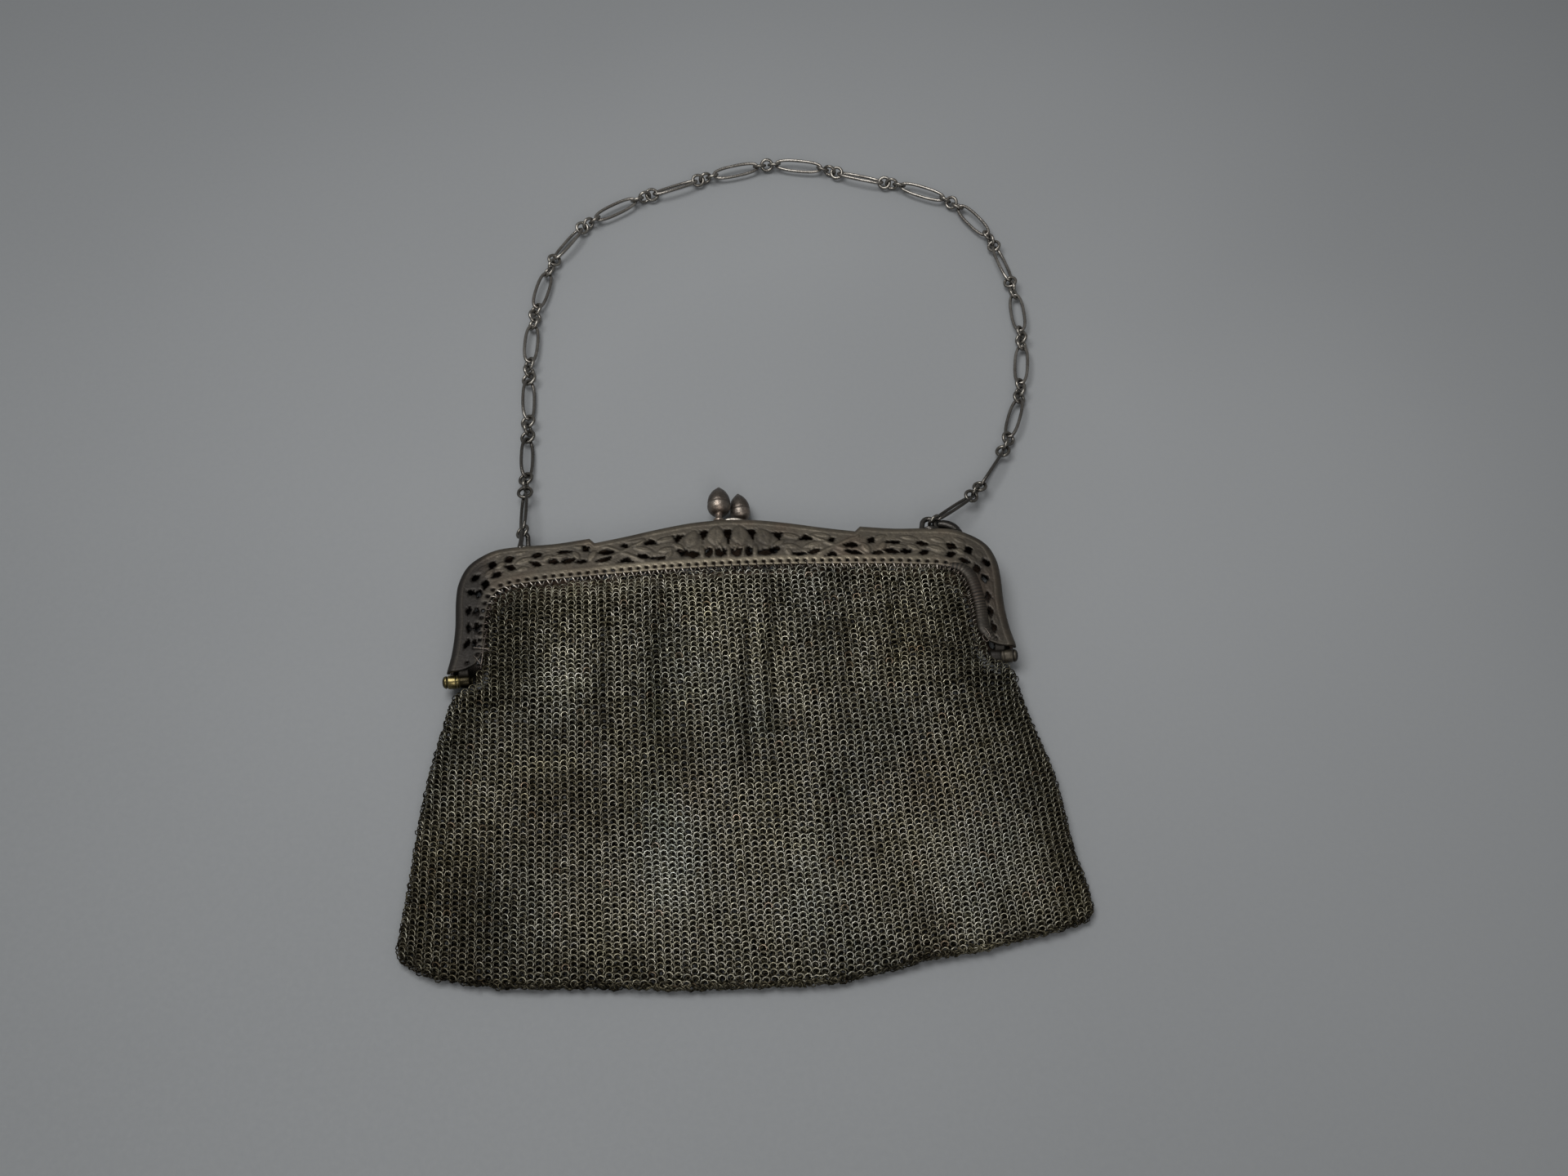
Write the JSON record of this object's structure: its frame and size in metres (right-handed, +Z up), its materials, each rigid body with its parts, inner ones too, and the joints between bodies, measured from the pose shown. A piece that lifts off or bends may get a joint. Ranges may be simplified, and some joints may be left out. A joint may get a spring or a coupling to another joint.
{
  "type": "ring-mesh frame purse",
  "caption": "Small chain-mail frame purse lying on its back, with a pierced floral metal frame, acorn ball clasp, hollow ring-mesh pouch and long-link chain handle.",
  "frame": {"origin": "middle of the underside of the whole object's box, on the surface it lies on", "axes": "+Z up off the surface it lies on, +Y from the pouch's hem towards the clasp and the chain, +X to the right along the hinge line seen from above"},
  "size_m": [0.173, 0.2756, 0.0091],
  "materials": {
    "frame_metal": "satin, warm tarnished silver tone",
    "knob_metal": "half polished, tarnished",
    "pin_brass": "satin, worn",
    "ring_mesh": "fine wire rings, patchy tarnish",
    "chain_metal": "dark tarnished wire"
  },
  "bodies": {
    "root": {"frame_front": "frame_metal", "frame_back": "frame_metal", "clasp_acorn_front": "knob_metal", "clasp_acorn_back": "knob_metal", "hinge_pin_left": "pin_brass", "hinge_pin_right": "frame_metal", "mesh_pouch": "ring_mesh", "chain_end_ring_left": "chain_metal", "chain_end_ring_right": "chain_metal", "chain_link_01": "chain_metal", "chain_link_02": "chain_metal", "chain_link_03": "chain_metal", "chain_link_04": "chain_metal", "chain_link_05": "chain_metal", "chain_link_06": "chain_metal", "chain_link_07": "chain_metal", "chain_link_08": "chain_metal", "chain_link_09": "chain_metal", "chain_link_10": "chain_metal", "chain_link_11": "chain_metal", "chain_link_12": "chain_metal", "chain_link_13": "chain_metal", "chain_link_14": "chain_metal", "chain_link_15": "chain_metal", "chain_link_16": "chain_metal", "chain_link_17": "chain_metal", "chain_link_18": "chain_metal", "chain_link_19": "chain_metal", "chain_rings_01": "chain_metal", "chain_rings_02": "chain_metal", "chain_rings_03": "chain_metal", "chain_rings_04": "chain_metal", "chain_rings_05": "chain_metal", "chain_rings_06": "chain_metal", "chain_rings_07": "chain_metal", "chain_rings_08": "chain_metal", "chain_rings_09": "chain_metal", "chain_rings_10": "chain_metal", "chain_rings_11": "chain_metal", "chain_rings_12": "chain_metal", "chain_rings_13": "chain_metal", "chain_rings_14": "chain_metal", "chain_rings_15": "chain_metal", "chain_rings_16": "chain_metal", "chain_rings_17": "chain_metal", "chain_rings_18": "chain_metal"}
  },
  "joints": []
}
